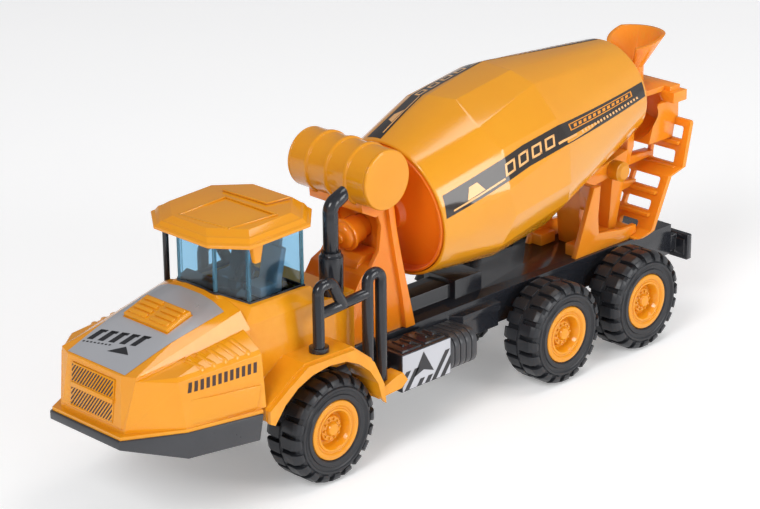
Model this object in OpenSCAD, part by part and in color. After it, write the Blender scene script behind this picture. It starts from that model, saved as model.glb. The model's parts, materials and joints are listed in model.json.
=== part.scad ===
// Toy cement mixer truck. The front faces -Y, +X is the truck's left side and +Z is up.
// The origin is on the ground, under the middle of the truck's bounding box.

/* [Wheels] */
// Outer diameter of the tyres
tyre_d = 44; // [42:0.5:45]
// Width of the tyres
tyre_w = 18.5; // [16:0.5:19]
// Distance from the middle of the truck to the outer side of a tyre
track_half = 37; // [36.5:0.1:38]
// Diameter of the yellow hubs
hub_d = 24.6; // [22:0.2:26]
// Diameter of the steel axles
axle_d = 3; // [2.6:0.1:3.2]
// Radial clearance of an axle in its chassis bores
axle_gap = 0.08; // [0.04:0.01:0.1]
// Position of the front axle along the truck
axle_front_y = -70.8; // [-72:0.1:-70]
// Position of the middle axle along the truck
axle_mid_y = 63.5; // [62:0.1:65]
// Position of the rear axle along the truck
axle_rear_y = 115.7; // [114:0.1:117]

/* [Drum] */
// Tilt of the drum's axis above the horizontal, in degrees
drum_tilt = 9.3; // [8:0.1:10]
// Length of the drum between its two rims
drum_len = 134; // [132:0.5:135]
// Radius of the front rim
drum_front_r = 29.7; // [28:0.1:30.5]
// Largest radius of the faceted belly
drum_belly_r = 37.4; // [35:0.1:38]
// Radius of the rear rim
drum_rear_r = 22.5; // [21:0.1:23]
// Number of sides of the faceted belly
drum_sides = 8; // [8:1:8]
// Radius of the two shaft ends that the drum turns on
drum_pin_r = 3; // [2.5:0.1:3.5]
// Radial clearance of a shaft end in its bearing
drum_pin_gap = 0.08; // [0.04:0.01:0.1]

/* [Chassis] */
// Height of the chassis top above the ground
chassis_top = 42; // [41.5:0.1:42.5]
// Half the width of the chassis frame
chassis_half = 16; // [15:0.1:16.4]

/* [Cab] */
// Thickness of the moulded cab shell
shell_t = 1.8; // [1.4:0.1:2.2]
// Thickness of the clear window moulding
glass_t = 1.4; // [1:0.1:1.8]
// Height of the roof's lower edge above the ground
roof_z = 104.2; // [104:0.1:105]

/* [Tank] */
// Radius of the water tank behind the cab
tank_r = 12.2; // [11:0.1:12.4]
// Half the length of the water tank
tank_half = 22.3; // [20:0.1:23]

/* [Hidden] */
$fn = 64;

eps = 0.01;
yellow = [0.96, 0.62, 0.10];
orange = [0.95, 0.52, 0.08];
black = [0.12, 0.12, 0.13];
dark_grey = [0.30, 0.30, 0.33];
wheel_z = tyre_d / 2;
hub_r = hub_d / 2;
axle_r = axle_d / 2;
axle_ys = [axle_front_y, axle_mid_y, axle_rear_y];
tyre_in = track_half - tyre_w;

// Point on the drum's axis at the front rim, and the axis helpers
drum_y = -3.5;
drum_z = 86.8;
function on_axis(s) = [0, drum_y + s * cos(drum_tilt), drum_z + s * sin(drum_tilt)];
// Children are drawn with +Z along the drum's axis, starting s mm behind the front rim
module along_drum(s = 0) translate(on_axis(s)) rotate([drum_tilt - 90, 0, 0]) children();

module mirror_x() { children(); mirror([1, 0, 0]) children(); }
// Solid between x = x0 and x1 whose side view is a polygon of [y, z] points
module side_plate(x0, x1, pts) translate([x0, 0, 0]) rotate([90, 0, 90]) linear_extrude(x1 - x0) polygon(pts);
// Solid between z = z0 and z1 whose plan is a polygon of [x, y] points
module plan_plate(z0, z1, pts) translate([0, 0, z0]) linear_extrude(z1 - z0) polygon(pts);
// Plan outline closed by its mirror image: pts run from the front to the rear on the left side
function mirrored(pts) = concat(pts, [for (i = [len(pts) - 1 : -1 : 0]) [-pts[i][0], pts[i][1]]]);
module box(x0, x1, y0, y1, z0, z1) translate([x0, y0, z0]) cube([x1 - x0, y1 - y0, z1 - z0]);
module cyl_x(x0, x1, r) translate([x0, 0, 0]) rotate([0, 90, 0]) cylinder(r = r, h = x1 - x0);
// Round bar between two points
module bar(a, b, r) {
    d = b - a;
    translate(a) rotate([0, acos(d[2] / norm(d)), atan2(d[1], d[0])]) cylinder(r = r, h = norm(d), $fn = 32);
}
// Bent round tube in the plane x = 0 through [y, z] points, with elbows of radius bend
function ang(a, b) = atan2(b[1] - a[1], b[0] - a[0]);
module bent_tube(pts, r, bend) rotate([90, 0, 90]) {
    n = len(pts);
    turn = [for (i = [0 : n - 1]) i == 0 || i == n - 1 ? 0 :
        let (d = ang(pts[i], pts[i + 1]) - ang(pts[i - 1], pts[i])) d > 180 ? d - 360 : d < -180 ? d + 360 : d];
    cut = [for (i = [0 : n - 1]) bend * tan(abs(turn[i]) / 2)];
    for (i = [0 : n - 2]) {
        a = ang(pts[i], pts[i + 1]);
        len = norm(pts[i + 1] - pts[i]) - cut[i] - cut[i + 1];
        translate(pts[i] + (cut[i] - 0.1) * [cos(a), sin(a)]) rotate([0, 90, a]) cylinder(r = r, h = len + 0.2, $fn = 32);
    }
    for (i = [1 : n - 2]) if (abs(turn[i]) > 1) {
        a = ang(pts[i - 1], pts[i]);
        side = sign(turn[i]);
        centre = pts[i] - cut[i] * [cos(a), sin(a)] + bend * side * [-sin(a), cos(a)];
        translate(centre) rotate(a - side * 90 + min(turn[i], 0))
            rotate_extrude(angle = abs(turn[i]), $fn = 96) translate([bend, 0]) circle(r = r - 0.02, $fn = 32);
    }
}

// ---------- chassis ----------
rail_in = 11;
rail_low = 28;
floor_t = 2;
chassis_front = -128;
chassis_back = 156;

screw_ys = [-94, 50, 146];
module chassis_frame() {
    color(black) difference() {
        union() {
            // hollow beam: side walls, deck, cross walls
            mirror_x() box(rail_in + 3, chassis_half, chassis_front, chassis_back, rail_low, chassis_top);
            box(-chassis_half + 1, chassis_half - 1, chassis_front, chassis_back, chassis_top - floor_t, chassis_top);
            for (y = [chassis_front, -100, -40, 0, 26, 84, 140, chassis_back - 2])
                box(-chassis_half + 1, chassis_half - 1, y, y + 2, rail_low, chassis_top - 1);
            // raised spine and cross box under the drum
            box(-6, 6, -8, 24, chassis_top - eps, chassis_top + 6);
            box(-9, 9, 24, 40, chassis_top - eps, chassis_top + 8);
            // side decks behind the toolboxes
            mirror_x() plan_plate(36, 39.4, [[chassis_half - 1, 12], [20.4, 17], [20.4, 39.4], [chassis_half - 1, 40.4]]);
            mirror_x() box(chassis_half - 1, 20, 17.6, 38.6, 29, 36.01);
            // axle brackets
            for (y = axle_ys) mirror_x() side_plate(rail_in + 1, chassis_half,
                [[y - 5, rail_low + 4], [y - 5, rail_low], [y - 3.4, wheel_z - 3.2], [y + 3.4, wheel_z - 3.2], [y + 5, rail_low], [y + 5, rail_low + 4]]);
            // outriggers that carry the toolboxes
            mirror_x() box(chassis_half - 1, 17.2, -27, -7, rail_low + 1, rail_low + 9);
        }
        for (y = axle_ys) translate([0, y, wheel_z]) cyl_x(-30, 30, axle_r + axle_gap);
    }
    color(black) for (y = screw_ys) translate([0, y, rail_low]) difference() {
        cylinder(r = 3, h = chassis_top - rail_low - 1);
        translate([0, 0, -1]) cylinder(r = 1.1, h = 8);
    }
}
cover_t = 1.6;
module chassis_bottom_cover() {
    color(dark_grey) difference() {
        union() {
            box(-13, 13, -124, 152, rail_low - cover_t, rail_low);
            // flat pad in the middle of the underside
            box(-10, 10, -38, 38, rail_low - cover_t - 0.8, rail_low - 1);
        }
        for (y = screw_ys) translate([0, y, rail_low - 3]) cylinder(r = 1.15, h = 6);
        // notches for the axle brackets
        for (y = axle_ys) mirror_x() box(11.8, 14, y - 5.2, y + 5.2, rail_low - 3, rail_low + 1);
    }
}
module cover_screws() {
    color("silver") for (y = screw_ys) translate([0, y, rail_low - cover_t - 1]) difference() {
        union() {
            cylinder(r = 2.2, h = 1, $fn = 32);
            cylinder(r = 1.1, h = 5, $fn = 32);
        }
        for (a = [0, 90]) rotate(a) box(-1.3, 1.3, -0.25, 0.25, -1, 0.6);
    }
}

// ---------- front bumper ----------
bumper_top = 43;
bumper_pts = [[20.4, -164.5], [32.4, -142], [39.8, -110.5], [30, -108.5]];
module front_bumper() {
    color(dark_grey) difference() {
        plan_plate(32.6, bumper_top, mirrored(bumper_pts));
        // the lower edge rises towards the nose
        side_plate(-60, 60, [[-170, 20], [-141.8, 32.6], [-164.5, 39.6], [-170, 41.3]]);
        plan_plate(31, bumper_top - 2, mirrored([[17, -161], [29.5, -140], [36.2, -113], [36, -100]]));
        side_plate(-60, 60, [[-113, 30], [-100, 30], [-100, bumper_top + 1], [-110.6, bumper_top + 1]]);
        box(-chassis_half - 0.05, chassis_half + 0.05, chassis_front, -100, 31, bumper_top + 1);
    }
    color(dark_grey) mirror_x() box(chassis_half + 0.05, 32, -113, -108.5, 34, bumper_top);
}

// ---------- cab ----------
flange_z = 44.4;
// Convex solid round a list of points, and round the points and their mirror images
module wrap(pts) hull() polyhedron(points = pts, faces = [[for (i = [0 : len(pts) - 1]) i]]);
module loft_points(pts) wrap(concat(pts, [for (p = pts) [-p[0], p[1], p[2]]]));

module hood_spine(g) loft_points([
    [15.4 - g, -158.2 + g, 65.8 - g * 1.2], [21.6 - g, -156.2 + g, 66.3 - g * 1.2], [22 - g, -105.4, 78 - g * 1.2],
    [17.4 - g, -106, 80.2 - g * 1.2], [12 - g, -107, 82 - g * 1.2], [5, -107.6, 82.9 - g * 1.2],
    [17.2 - g, -160.8 + g, 46], [20.6 - g, -157.6 + g, 46], [27 - g, -104, 46], [25.6 - g, -104, 71]]);
module hood_pod(g) loft_points([
    [18.5 - g, -160.6 + g, flange_z - g], [31.4 - g, -141.6 + g, flange_z - g], [38 - g, -108, flange_z - g],
    [21.5 - g, -156.6 + g, 64.8 - g], [31.8 - g, -145 + g, 63.8 - g], [36 - g, -108, 65.2 - g],
    [30.6 - g, -144.4 + g, 65.4 - g], [34.8 - g, -108, 66.8 - g], [25.4 - g, -107, 71.6 - g], [20 - g, -150, 65 - g]]);
module cab_base(g) loft_points([
    [12 - g, -108.8, 82.2 - g], [21.8 - g, -99.6, 77.6 - g], [21.4 - g, -69, 77.4 - g], [27 - g, -108, 46],
    [27 - g, -66 - g, 46], [24.5 - g, -106, 72 - g], [24.5 - g, -66 - g, 72 - g]]);
fender_in = [[-105.5, 36.5], [-100, 43.2], [-93.5, 48], [-86, 51], [-77, 52.2], [-68.2, 51.2], [-61.4, 48], [-55.8, 43.4], [-51.4, 37], [-49.4, 30]];
fender_out = [[-46.6, 28], [-47.6, 36.6], [-53, 47.4], [-63.4, 55.6], [-88, 56], [-98.5, 50], [-108.4, 43.8], [-108.4, 38.6]];
module fender() {
    side_plate(24.6, 38, concat(fender_in, fender_out));
    // flared outer lip, a little lower than the top of the fender
    side_plate(38 - eps, 40, concat(fender_in, [for (p = fender_out) [max(p[0] * 0.985 - 1.1, -108.2), p[1] - 0.9]]));
}
module cab_shell() {
    color(yellow) {
        difference() {
            union() {
                hood_spine(0);
                hood_pod(0);
                cab_base(0);
                // flange on the bumper
                plan_plate(bumper_top, flange_z + eps, mirrored([[19.9, -163.6], [31.9, -141.6], [39, -110.5], [27, -108.5]]));
                // rear bulkhead that carries the exhaust
                box(-25.5, 25.5, -67, -50, chassis_top, 71.5);
                mirror_x() fender();
                // side steps behind the fenders
                mirror_x() side_plate(30, 37, [[-48, 31.4], [-38, 35], [-34.8, 35.4], [-32, 31.6], [-35.4, 29], [-48, 28.2]]);
                mirror_x() side_plate(27.5, 33, [[-50, 31], [-43, 34], [-43, 30], [-50, 28]]);
            }
            // hollow inside
            hood_spine(shell_t * 1.2);
            hood_pod(shell_t);
            plan_plate(bumper_top - 1, flange_z + 1, mirrored([[15, -157], [28, -139], [34, -110], [24, -106]]));
            box(-22.4, 22.4, -106, -69, 47.6, 72.2);
            box(-23.5, 23.5, -69.5, -52, 47.6, 69.5);
            // seat for the window moulding
            plan_plate(73.8, 90, mirrored([[10.9, -108.3], [20.3, -99.1], [20.3, -70.7]]));
            // wheel space and grille recess
            mirror_x() translate([0, axle_front_y, wheel_z]) cyl_x(tyre_in - 1.5, 45, 22.7);
            side_plate(-12.4, 12.4, [[-165, 46.8], [-159.7, 46.8], [-157.9, 63.6], [-165, 63.6]]);
        }
        // raised louvre block on the hood
        translate([0, -158.3, 65.9]) rotate([19, 0, 0]) {
            box(-12.4, 12.4, 26.6, 39, -1, 1.2);
            for (i = [0 : 3]) mirror_x() box(1.2, 11.2, 28 + i * 2.8, 29.5 + i * 2.8, 1, 1.9);
        }
        // slanted ribs on the shoulders
        mirror_x() for (i = [0 : 4]) translate([28, -133 + i * 5, 66.6 + i * 0.35]) rotate([4, 24, 24]) cube([8, 2, 1.6], center = true);
    }
}
module front_grille() {
    // a plate leaning back with the nose, with two hatched fields either side of a cross bar
    color(dark_grey) side_plate(-12.3, 12.3, [[-160.9, 46.9], [-159.75, 46.9], [-157.95, 63.5], [-159.1, 63.5]]);
    color(yellow) side_plate(-12.3, 12.3, [[-160.6, 54.4], [-160.1, 54.4], [-159.85, 56.2], [-160.35, 56.2]]);
}
glass_low = 73.8;
module glass_outline(g) polygon(mirrored([[10.6 - g * 0.6, -108 + g], [20 - g, -99 + g * 0.5], [20 - g, -71 - g]]));
module cab_glass() {
    color([0.45, 0.80, 0.92, 0.45]) difference() {
        translate([0, 0, glass_low]) linear_extrude(roof_z + 1.6 - glass_low) glass_outline(0);
        translate([0, 0, glass_low - 1]) linear_extrude(roof_z - glass_low + 4) glass_outline(glass_t);
        // the lower edge follows the rising hood
        side_plate(-12, 12, [[-112, 70], [-106.4, 70], [-106.4, 76], [-112, 78]]);
    }
}
module cab_floor() {
    color(black) plan_plate(74.2, 75.6, mirrored([[8.5, -105.5], [17.6, -97.5], [17.6, -73.5]]));
}
module seat(x, c) {
    color(c) translate([x, 0, 0]) {
        box(-5, 5, -88, -77, 75.6, 79.6);
        side_plate(-5, 5, [[-80, 79.5], [-77, 79.5], [-74.2, 92.5], [-76.8, 93.2]]);
        side_plate(-3, 3, [[-76.4, 92.6], [-74.6, 92.3], [-74, 96], [-75.6, 96.3]]);
    }
}
module driver_seat() seat(8.4, [0.62, 0.66, 0.70]);
module passenger_seat() seat(-8.4, black);
module dashboard() {
    color(black) {
        side_plate(-15.5, 15.5, [[-101.5, 75.6], [-94, 75.6], [-95, 81.4], [-98.6, 83.4], [-101.5, 82]]);
        side_plate(3.4, 13.4, [[-100.4, 81.5], [-95.4, 81.5], [-96.6, 84.8], [-99.4, 85.6]]);
        bar([8.4, -97, 81.5], [8.4, -91.6, 85.6], 0.7);
    }
}
module steering_wheel() {
    color(black) translate([8.4, -91.2, 85.9]) rotate([53, 0, 0]) {
        rotate_extrude($fn = 48) translate([4, 0]) circle(r = 0.6, $fn = 16);
        difference() {
            cylinder(r = 1.6, h = 0.9, center = true, $fn = 32);
            translate([0, 0, -1.4]) cylinder(r = 0.72, h = 1.4, $fn = 32);
        }
        for (a = [90, 210, 330]) rotate(a) box(1.3, 3.7, -0.5, 0.5, -0.4, 0.4);
    }
}
// Corner points of the roof from front to rear on the left side, [x, y, z] at the lower rim, the upper rim and the top
roof_low = [[15.4, -115.2, roof_z - 0.6], [28.6, -105.6, roof_z - 0.4], [28.6, -74.6, roof_z + 0.2], [17, -63.2, roof_z + 0.4]];
roof_rim = [[15.4, -115, roof_z + 1], [28.4, -105.4, roof_z + 1.2], [28.4, -74.8, roof_z + 2.2], [17, -63.4, roof_z + 2.6]];
roof_mid = [[14.4, -113.2, roof_z + 2.6], [26.2, -104, roof_z + 3.2], [26.2, -75.8, roof_z + 5], [15.8, -65, roof_z + 5.6]];
roof_step = [[14, -112.6, roof_z + 2.8], [25.6, -103.7, roof_z + 3.4], [25.6, -76.1, roof_z + 5.2], [15.5, -65.6, roof_z + 5.8]];
roof_top = [[12.6, -109.6, roof_z + 4.6], [22.6, -102, roof_z + 5.1], [22.6, -77.4, roof_z + 6.6], [14, -68.6, roof_z + 7.1]];
function inward(pts, g) = [for (p = pts) [p[0] - g, p[1] + (p[1] < -90 ? g * 0.8 : -g * 0.8), p[2]]];
module cab_roof() {
    color(yellow) {
        difference() {
            union() {
                loft_points(concat(roof_low, roof_rim, roof_mid));
                loft_points(concat(inward(roof_mid, 0.5), roof_step, roof_top));
            }
            // hollow underside
            loft_points(concat(inward([for (p = roof_low) p - [0, 0, 2]], 1.6), inward([for (p = roof_mid) p - [0, 0, 1.8]], 1.4),
                inward([for (p = roof_top) p - [0, 0, 1.8]], 1)));
        }
        // ledge that closes the roof round the windows
        difference() {
            plan_plate(roof_z + 0.2, roof_z + 1.6, mirrored([[13.6, -113], [26.8, -104.2], [26.8, -76], [15.6, -65]]));
            translate([0, 0, roof_z - 1]) linear_extrude(4) glass_outline(-0.15);
        }
        // raised panel frames on top
        for (f = [[-12, 12, -106, -88], [1, 15, -84.6, -71.6]]) translate([0, -109.6, roof_z + 4.66]) rotate([3.49, 0, 0]) {
            y0 = f[2] + 109.6;
            y1 = f[3] + 109.6;
            for (x = [f[0], f[1]]) box(x - 0.4, x + 0.4, y0, y1, -0.3, 0.4);
            for (y = [y0, y1]) box(f[0] - 0.4, f[1] + 0.4, y - 0.4, y + 0.4, -0.3, 0.4);
        }
        // clip tabs under the front corners
        mirror_x() side_plate(24.4, 27, [[-103, roof_z + 1.3], [-97, roof_z + 1.3], [-98.6, 96.6], [-101.2, 96.6]]);
    }
}
module roof_post() { color(black) translate([-22.6, -103.4, 76.6]) cylinder(r = 1.2, h = roof_z + 0.2 - 76.6, $fn = 32); }

// ---------- exhaust ----------
exhaust_x = 22;
exhaust_y = -58.5;
muffler_top = 89;
module exhaust_muffler() {
    color(black) translate([exhaust_x, exhaust_y, 71.5]) {
        cylinder(r = 4.4, h = 1);
        translate([0, 0, 1 - eps]) cylinder(r = 4.8, h = 14.6);
        translate([0, 0, 15.5]) cylinder(r1 = 4.8, r2 = 4, h = 1);
        translate([0, 0, 16.5 - eps]) cylinder(r = 4, h = 1);
    }
}
module exhaust_pipe() {
    color(black) translate([exhaust_x, exhaust_y, 0]) difference() {
        bent_tube([[0, muffler_top + 0.1], [0, 107.4], [14, 113.4]], 3.05, 4);
        bent_tube([[4, 109.11], [20, 115.97]], 2.1, 5);
        box(-5, 5, 6.8, 20, 100, 130);
    }
}

// ---------- handrails ----------
rail_x = 33;
rail_r = 2.3;
module handrail() {
    color(black) translate([rail_x, 0, 0]) {
        translate([0, -76, 55.9]) cylinder(r = 3.9, h = 1.9);
        bent_tube([[-76, 56.5], [-76, 82], [-69.2, 82], [-63, 70.8]], rail_r, 3);
        bent_tube([[-75.9, 70.6], [-50, 72.4]], rail_r - 0.15, 3);
        bent_tube([[-49.9, 42], [-49.9, 79.6], [-42.7, 79.6], [-42.7, 34]], rail_r, 3.4);
    }
}
module handrail_left() handrail();
module handrail_right() mirror([1, 0, 0]) handrail();

// ---------- front pedestal, motor, tank ----------
// Side view of the pedestal's body, and of the flange along its rear edge
body_side = [[-44, chassis_top], [-44, 61.6], [-39, 64.4], [-35, 70], [-29.6, 72.4], [-25.4, 78], [-24, 88], [-27, 96.4],
             [-19.4, 97.4], [-14.6, 70], [-8.6, chassis_top]];
flange_side = [[-7.4, chassis_top], [-10.8, 56], [-14.2, 70], [-17.4, 85], [-19.2, 97.6], [-22.4, 97.6], [-20.4, 85], [-17.4, 70],
               [-14.6, 56], [-12.6, chassis_top]];
module front_pedestal() {
    color(orange) difference() {
        union() {
            mirror_x() side_plate(12.6, 14.6, body_side);
            mirror_x() side_plate(14.6 - eps, 16.8, flange_side);
            side_plate(-14, 14, [[-44, chassis_top], [-42, chassis_top], [-42, 60.8], [-37.6, 63.2], [-33.6, 68.6], [-28, 71.2], [-20, 71.2],
                [-20, 73.2], [-29.6, 72.4], [-35, 70], [-39, 64.4], [-44, 61.6]]);
            // upper step under the motor, rear wall and tank saddle
            side_plate(-9, 9, [[-33, 71], [-19, 71], [-19, 75.4], [-28.6, 75.4], [-31.4, 73.4]]);
            side_plate(-14, 14, [[-17.4, 60], [-14.2, 60], [-14.4, 70], [-17.4, 85], [-19.2, 97.6], [-22.2, 97.6], [-20.2, 85], [-17.6, 70]]);
            side_plate(-15, 15, [[-34.6, 96.4], [-27.4, 92.8], [-19.6, 95], [-17, 98], [-20, 103], [-35, 101]]);
        }
        along_drum(-30) cylinder(r = 5, h = 20);
        along_drum(bearing_s) cylinder(r = 8.45, h = 8);
        translate([0, tank_y, tank_z]) cyl_x(-tank_half, tank_half, tank_r + 0.03);
        for (c = tank_ribs) translate([0, tank_y, tank_z]) cyl_x(c - 1.3, c + 1.3, rib_r + 0.03);
    }
}
motor_s = -16.6;
module drum_motor() {
    color(orange) along_drum(motor_s) rotate([180, 0, 0]) difference() {
        rotate_extrude() polygon(concat([[0, 0], [4.95, 0], [4.95, 3.6], [5.9, 3.6], [5.9, 9.2], [6.9, 9.2], [6.9, 10.8], [5.7, 10.8]],
            [for (a = [0 : 15 : 75]) [2.6 + 3 * cos(a), 11 + 2.4 * sin(a)]], [[2.2, 13.4], [2.2, 14.4], [0, 14.4]]));
        translate([0, 0, -1]) cylinder(r = 3.6, h = 3);
    }
}
bearing_s = -15.4;
bearing_len = 10.6;
module front_bearing() {
    color(orange) along_drum(bearing_s) difference() {
        union() {
            cylinder(r = 8.4, h = 5);
            translate([0, 0, 5 - eps]) cylinder(r = 6, h = bearing_len - 5);
        }
        translate([0, 0, -1]) cylinder(r = drum_pin_r + drum_pin_gap, h = bearing_len + 2);
    }
}
tank_y = -27.8;
tank_z = 110;
rib_r = tank_r + 0.7;
tank_ribs = [-11.5, -0.5, 10.5];
module water_tank() {
    color(yellow) translate([0, tank_y, tank_z]) rotate([0, 90, 0]) rotate_extrude($fn = 96)
        polygon(concat([[tank_r - 1.6, -tank_half + 1.5], [tank_r, -tank_half + 1.5]],
            [for (c = tank_ribs) for (q = [[tank_r, -1.2], [rib_r, -0.7], [rib_r, 0.7], [tank_r, 1.2]]) [q[0], q[1] + c]],
            [[tank_r, tank_half - 1.5], [tank_r - 1.6, tank_half - 1.5]]));
}
module tank_cap() {
    color(yellow) translate([tank_half - 1.5, tank_y, tank_z]) rotate([0, 90, 0]) rotate_extrude($fn = 96)
        polygon([[0, 0], [tank_r, 0], [tank_r, 1], [tank_r - 0.5, 1.5], [0, 1.5]]);
    color(yellow) translate([tank_half - 4, tank_y, tank_z]) rotate([0, 90, 0]) difference() {
        cylinder(r = tank_r - 1.6, h = 2.5 + eps);
        translate([0, 0, -1]) cylinder(r = tank_r - 3, h = 3.4);
    }
}
module tank_cap_left() tank_cap();
module tank_cap_right() mirror([1, 0, 0]) tank_cap();

// ---------- rear pedestal, ladder, hopper ----------
leg = [[93, chassis_top], [101.6, 64], [104.4, 71.5], [108.6, 71.5], [107.4, 58], [108, 50], [124, 47.6], [133, 47.6], [133, 43.9], [128.6, 43.05], [128.6, chassis_top]];
module rear_pedestal() {
    color(orange) {
        mirror_x() side_plate(12.2, 14.7, leg);
        mirror_x() box(7, 12.3, 95, 104, chassis_top, 47);
        mirror_x() box(6, 12.3, 104.6, 107.8, 60, 71.4);
        difference() {
            union() {
                along_drum(136.4) cylinder(r = 7, h = 5);
                side_plate(-6.5, 6.5, [[106, chassis_top], [104, 58], [106, 71.4], [114, 75], [126, 77.5], [135.6, 79.6], [135.6, 112],
                    [140, 112], [140, 80.4], [134, 66], [128, chassis_top]]);
            }
            along_drum(130) cylinder(r = drum_pin_r + drum_pin_gap, h = 14);
            // side windows of the tower
            side_plate(-10, 10, [[111, 46], [109.6, 58], [111, 68], [126, 70], [124, 46]]);
        }
    }
}
// Stepped outline of the ladder's rear face, from the top down
step_line = [[164.5, 89.4], [159.8, 69], [150.2, 66.8], [141.4, 48.4], [139.4, 44.4], [131, 42.2]];
function line_y(z) = let (k = [for (i = [0 : len(step_line) - 2]) if (z <= step_line[i][1] && z >= step_line[i + 1][1]) i][0],
    a = step_line[k], b = step_line[k + 1]) a[0] + (b[0] - a[0]) * (z - a[1]) / (b[1] - a[1]);
window_z = [83.3, 72.4, 63.4, 53.9, 45.2];
window_x = [[0.6, 16.8], [0.6, 14.6], [0.6, 16], [0.6, 15], [1.2, 11.6]];
window_h = [2.9, 2.9, 2.5, 2.2, 1.5];
ladder_t = 2.2;
module ladder_frame() {
    color(orange) {
        difference() {
            side_plate(-20, 20, concat(step_line, [for (i = [len(step_line) - 1 : -1 : 0]) step_line[i] - [ladder_t, i == len(step_line) - 1 ? 0 : -0.3]]));
            for (i = [0 : 4]) mirror_x() box(window_x[i][0], window_x[i][1], 120, 170, window_z[i] - window_h[i], window_z[i] + window_h[i]);
        }
        // treads on the rear face and the foot of the frame
        plan_plate(chassis_top, 42.9, mirrored([[17.4, 128.8], [17.4, 132.4]]));
        for (i = [0 : 3]) {
            z = window_z[i] - window_h[i];
            side_plate(-16.6, 16.6, [[line_y(z) - 4.4, z - 1.8], [line_y(z) - 4.4, z - 0.2], [line_y(z) - 1, z - 0.2], [line_y(z) - 1, z - 1.8]]);
        }
        // braces from the frame to the pedestal
        for (q = [[61.2, 132.8, 147], [72, 136.5, 158.6]]) side_plate(-2.6, 2.6, [[q[1] - 0.6, q[0] - 2.4], [q[1] + 0.9, q[0] + 2.4], [q[2], q[0] + 1.2], [q[2], q[0] - 1.2]]);
    }
}
module discharge_hood() {
    color(orange) difference() {
        union() {
            side_plate(-11.6, 11.6, [[144, 81], [149.6, 98.2], [163.8, 98.2], [163.8, 89.75], [162.25, 89.75], [160.25, 81]]);
            box(-15.6, 15.6, 155.4, 164.4, 98.2 - eps, 102.9);
            box(-12.4, 12.4, 156.8, 163.4, 102.8, 104.8);
            plan_plate(102.4, 104.79, mirrored([[6.5, 141], [9, 146], [9, 158]]));
        }
        // scoop facing the drum
        intersection() {
            translate([0, 143, 94.4]) rotate([-90, 0, 0]) cylinder(r1 = 14, r2 = 7.4, h = 18.4);
            box(-20, 20, 140, 170, 80, 102.3);
        }
    }
}
module loading_hopper() {
    color(orange) difference() {
        translate([0, 145.4, 0]) rotate_extrude() polygon([[3, 104.8], [5, 104.8], [5, 115], [14, 129.4], [12.4, 129.4], [3, 116]]);
        translate([0, 145.4, 114]) linear_extrude(20) polygon([[0, -1], [-24, -21], [-24, -40], [24, -40], [24, -21]]);
        // the mouth falls away towards the drum
        side_plate(-20, 20, [[152, 129.5], [152, 140], [125, 140], [125, 121.2]]);
    }
}
module pivot_knob() {
    color(yellow) translate([6.5, 126.5, 72.8]) rotate([0, 90, 0]) {
        cylinder(r = 4.4, h = 5.4);
        translate([0, 0, 5.4 - eps]) cylinder(r1 = 4.4, r2 = 3, h = 1.2);
    }
}

// ---------- side equipment ----------
module toolbox() {
    color(black) {
        box(17.2, 33, -31.4, -3.4, 24.2, 40.2);
        box(18.6, 31.4, -29.6, -18.6, 40.2 - eps, 41);
        box(18.6, 31.4, -16.6, -5.2, 40.2 - eps, 41);
        for (y = [-26, -22]) box(22, 28, y, y + 1.2, 41 - eps, 41.8);
        for (y = [-13, -9]) box(22, 28, y, y + 1.2, 41 - eps, 41.8);
    }
}
module toolbox_left() toolbox();
module toolbox_right() mirror([1, 0, 0]) toolbox();
module air_tank() {
    color(dark_grey) {
        for (i = [0 : 4]) side_round(-3.3 + i * 3.3, -0.5 + i * 3.3, 0);
        side_round(-3.4, 12.7, 0.7);
    }
}
// Slice of the rounded tank between y0 and y1, drawn g smaller all round
module side_round(y0, y1, g) {
    translate([0, y1, 0]) rotate([90, 0, 0]) linear_extrude(y1 - y0) hull() {
        translate([27, 33.5]) circle(r = 5.2 - g, $fn = 32);
        translate([27, 28.5]) circle(r = 5.2 - g, $fn = 32);
        translate([chassis_half + 0.05 + g, 24 + g]) square([4, 14 - 2 * g]);
    }
}
module air_tank_left() air_tank();
module air_tank_right() mirror([1, 0, 0]) air_tank();
module rear_bumper() {
    color(black) {
        box(-21, 21, 161.5, 164.5, 24.6, 36.4);
        mirror_x() box(12, 15, chassis_back, 161.6, 28.5, 36);
        mirror_x() box(14, 19.5, 160.9, 161.6, 27, 34);
    }
}

// ---------- drum ----------
// Vertex angles of the octagons that the belly alternates between
turns = [6, 31.5, 31.5, 14];
// Stations behind the front rim: front belt corner, belly start, belly end, rear belt corner
stations = [31, 34.5, 67, 69.5];
function ring(s, r, a, n) = [for (i = [0 : n - 1]) [r * cos(i * 360 / n - a), r * sin(i * 360 / n - a), s]];
module drum_body(g, past) wrap(concat(
    ring(-past, drum_front_r - g, 0, 96),
    ring(stations[0], drum_belly_r - 0.3 - g, turns[0], drum_sides),
    ring(stations[1], drum_belly_r - g, turns[1], drum_sides),
    ring(stations[2], drum_belly_r - g, turns[2], drum_sides),
    ring(stations[3], drum_belly_r - 0.5 - g, turns[3], drum_sides),
    ring(drum_len + past, drum_rear_r - g, 0, 96)));
drum_t = 1.6;
module drum_shell() {
    color(yellow) along_drum() difference() {
        drum_body(0, 0);
        drum_body(drum_t, 1);
    }
}
module drum_front_dish() {
    r = drum_front_r - drum_t - 0.02;
    color(orange) along_drum() difference() {
        rotate_extrude($fn = 96) polygon([[0, -3.2], [7.6, -3.2], [8.6, -0.6], [22, 2.2], [r - 1.4, 3], [r - 1.2, -0.6], [r, -0.6], [r, 1], [r, 4.6], [21, 4], [8, 1.4], [0, 1.4]]);
        translate([0, 0, -4]) cylinder(r = drum_pin_r, h = 6);
    }
}
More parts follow.
